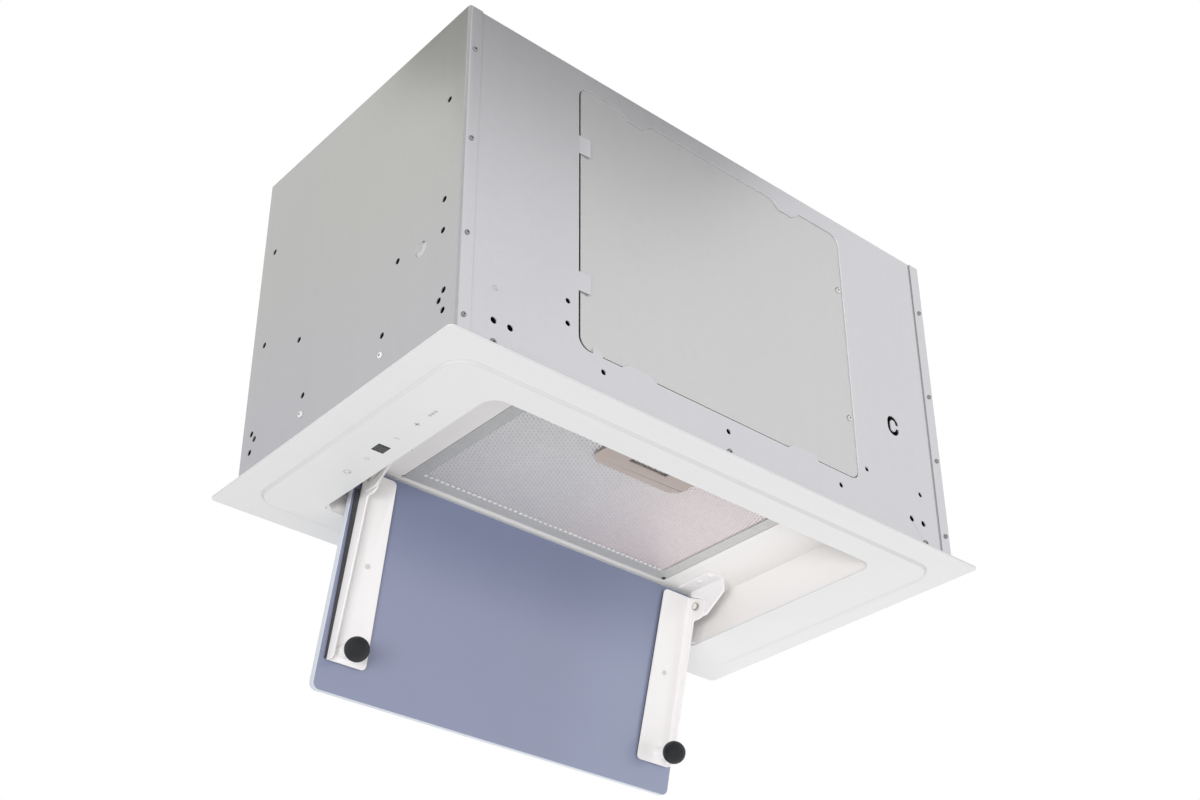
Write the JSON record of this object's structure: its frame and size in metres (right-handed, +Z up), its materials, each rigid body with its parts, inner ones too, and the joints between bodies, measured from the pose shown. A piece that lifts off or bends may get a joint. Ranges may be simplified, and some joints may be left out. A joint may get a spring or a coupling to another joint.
{
  "type": "built-in range hood",
  "caption": "Range hood for a wall cupboard: zinc sheet body with duct collar, white fascia, grease filter and a drop panel that swings down on two arms.",
  "frame": {"origin": "middle of the cupboard's cut-out, in the plane of the flange's upper face", "axes": "+Z up towards the duct, +X to the right and -Y the face with the service cover"},
  "size_m": [0.525, 0.302, 0.4929],
  "materials": {
    "fascia_white": "white powder coat, satin",
    "tray_white": "white powder coat, satin",
    "zinc_sheet": "zinc-coated sheet, satin",
    "cover_sheet": "zinc-coated sheet, satin",
    "screw_steel": "bright zinc",
    "filter_aluminium": "satin",
    "mesh_aluminium": "expanded mesh, satin",
    "latch_plastic": "taupe, matt",
    "panel_glass": "blue-grey sheet, semi-gloss",
    "arm_white": "white powder coat, satin",
    "stem_white": "white, matt",
    "ball_rubber": "black, matt",
    "pad_foam": "black foam, matt",
    "display_black": "smoked, gloss",
    "board_green": "circuit board",
    "lamp_metal": "satin",
    "lamp_diffuser": "opal",
    "scroll_zinc": "zinc-coated sheet",
    "wheel_plastic": "black, matt",
    "motor_paint": "black enamel",
    "capacitor_plastic": "white",
    "box_plastic": "black, matt",
    "collar_plastic": "black, matt"
  },
  "bodies": {
    "hood": {"fascia_frame": "fascia_white", "recess_tray": "tray_white", "left_side_panel": "zinc_sheet", "right_side_panel": "zinc_sheet", "front_panel": "zinc_sheet", "rear_panel": "zinc_sheet", "top_panel": "zinc_sheet", "filter_seat": "zinc_sheet", "service_cover": "cover_sheet", "service_cover_screws": "screw_steel", "front_lap_screws": "screw_steel", "rear_lap_screws": "screw_steel", "fascia_screws": "screw_steel", "side_panel_screws": "screw_steel", "collar_screws": "screw_steel", "hinge_pin_left": "screw_steel", "hinge_pin_right": "screw_steel", "damper_pin_front": "screw_steel", "damper_pin_rear": "screw_steel", "filter_frame": "filter_aluminium", "filter_mesh": "mesh_aluminium", "latch_plate": "latch_plastic", "hinge_bracket_left": "arm_white", "hinge_bracket_right": "arm_white", "bracket_screws": "arm_white", "display_window": "display_black", "touch_board": "board_green", "lamp_housing": "lamp_metal", "lamp_lens": "lamp_diffuser", "blower_scroll": "scroll_zinc", "blower_side_left": "scroll_zinc", "blower_side_right": "scroll_zinc", "inlet_ring_left": "scroll_zinc", "inlet_ring_right": "scroll_zinc", "motor_bracket": "scroll_zinc", "motor_can": "motor_paint", "motor_capacitor": "capacitor_plastic", "control_box": "box_plastic", "terminal_box": "box_plastic", "duct_collar": "collar_plastic", "collar_flange": "collar_plastic"},
    "drop_panel": {"drop_panel": "panel_glass", "hinge_arm_left": "arm_white", "hinge_arm_right": "arm_white", "bumper_stem_left": "stem_white", "bumper_stem_right": "stem_white", "bumper_ball_left": "ball_rubber", "bumper_ball_right": "ball_rubber", "arm_rivets": "screw_steel", "arm_pad_left": "pad_foam", "arm_pad_right": "pad_foam"},
    "filter_latch": {"latch_slider": "latch_plastic"},
    "front_flap": {"damper_flap_front": "collar_plastic"},
    "rear_flap": {"damper_flap_rear": "collar_plastic"},
    "fan": {"blower_wheel": "wheel_plastic", "motor_shaft": "screw_steel"}
  },
  "joints": [
    {"name": "drop_hinge", "type": "hinge", "parent": "hood", "child": "drop_panel", "pos_m": [0, 0.0735, 0.0165], "axis": [1, 0, 0], "range_deg": [-103, 0]},
    {"name": "latch_slide", "type": "slide", "parent": "hood", "child": "filter_latch", "axis": [0, 1, 0], "range_m": [0, 0.006], "stiffness_N_per_m": 300, "springref_m": -0.003},
    {"name": "front_flap_hinge", "type": "hinge", "parent": "hood", "child": "front_flap", "pos_m": [0, 0.028, 0.3088], "axis": [-1, 0, 0], "range_deg": [0, 78]},
    {"name": "rear_flap_hinge", "type": "hinge", "parent": "hood", "child": "rear_flap", "pos_m": [0, 0.037, 0.3088], "axis": [1, 0, 0], "range_deg": [0, 78]},
    {"name": "fan_spin", "type": "hinge", "parent": "hood", "child": "fan", "pos_m": [0, -0.012, 0.1635], "axis": [1, 0, 0], "continuous": true}
  ]
}
